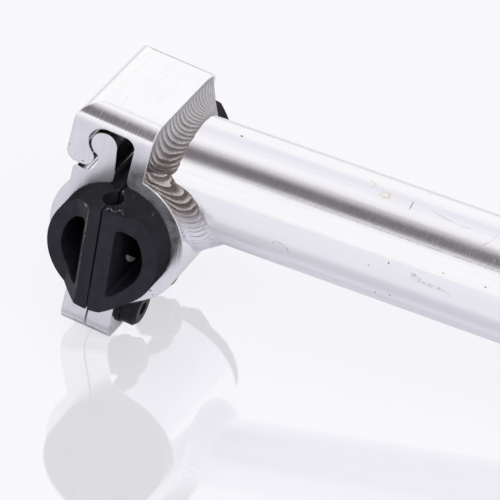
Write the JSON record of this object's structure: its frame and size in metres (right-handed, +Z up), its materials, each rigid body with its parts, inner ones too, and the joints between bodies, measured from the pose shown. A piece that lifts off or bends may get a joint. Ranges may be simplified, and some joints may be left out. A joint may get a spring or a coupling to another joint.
{
  "type": "bicycle seatpost",
  "caption": "Welded aluminium bicycle seatpost lying on its side: straight tube, brushed clamp head with a hinged jaw, and a black split barrel that grips the saddle rails.",
  "frame": {"origin": "on the table under the middle of the lying post's box", "axes": "+X from the clamp head towards the open end of the tube, +Y across the head along the rail barrel, +Z up from the table the post lies on"},
  "size_m": [0.2516, 0.055, 0.0567],
  "materials": {
    "bare_aluminium": "satin polished",
    "brushed_aluminium": "brushed",
    "weld_metal": "rippled, as welded",
    "black_anodised": "satin",
    "black_steel": "black oxide"
  },
  "bodies": {
    "post": {"post_tube": "bare_aluminium", "clamp_head": "brushed_aluminium", "weld_bead_upper": "weld_metal", "weld_bead_lower": "weld_metal", "bolt_washer_near": "black_steel", "bolt_washer_far": "black_steel"},
    "jaw": {"hinged_jaw": "brushed_aluminium"},
    "cradle": {"cradle_inner": "black_anodised", "cradle_outer": "black_anodised"},
    "bolt_near": {"clamp_bolt_near": "black_steel"},
    "bolt_far": {"clamp_bolt_far": "black_steel"}
  },
  "joints": [
    {"name": "cradle_tilt", "type": "hinge", "parent": "post", "child": "cradle", "pos_m": [-0.11033, 0, 0.02718], "axis": [0, 1, 0], "range_deg": [-20, 20]},
    {"name": "bolt_near_turn", "type": "hinge", "parent": "post", "child": "bolt_near", "pos_m": [-0.11098, -0.009, 0.00693], "axis": [0.9814, 0, -0.1917], "range_deg": [0, 450]},
    {"name": "bolt_far_turn", "type": "hinge", "parent": "post", "child": "bolt_far", "pos_m": [-0.11098, 0.009, 0.00693], "axis": [0.9814, 0, -0.1917], "range_deg": [0, 450]},
    {"name": "jaw_open", "type": "hinge", "parent": "post", "child": "jaw", "pos_m": [-0.11358, 0, 0.04835], "axis": [0, 1, 0], "range_deg": [0, 1.43]}
  ],
  "couplings": [
    {"joint": "bolt_far_turn", "follows": "bolt_near_turn", "ratio": 1},
    {"joint": "jaw_open", "follows": "bolt_near_turn", "ratio": 0.003171}
  ]
}
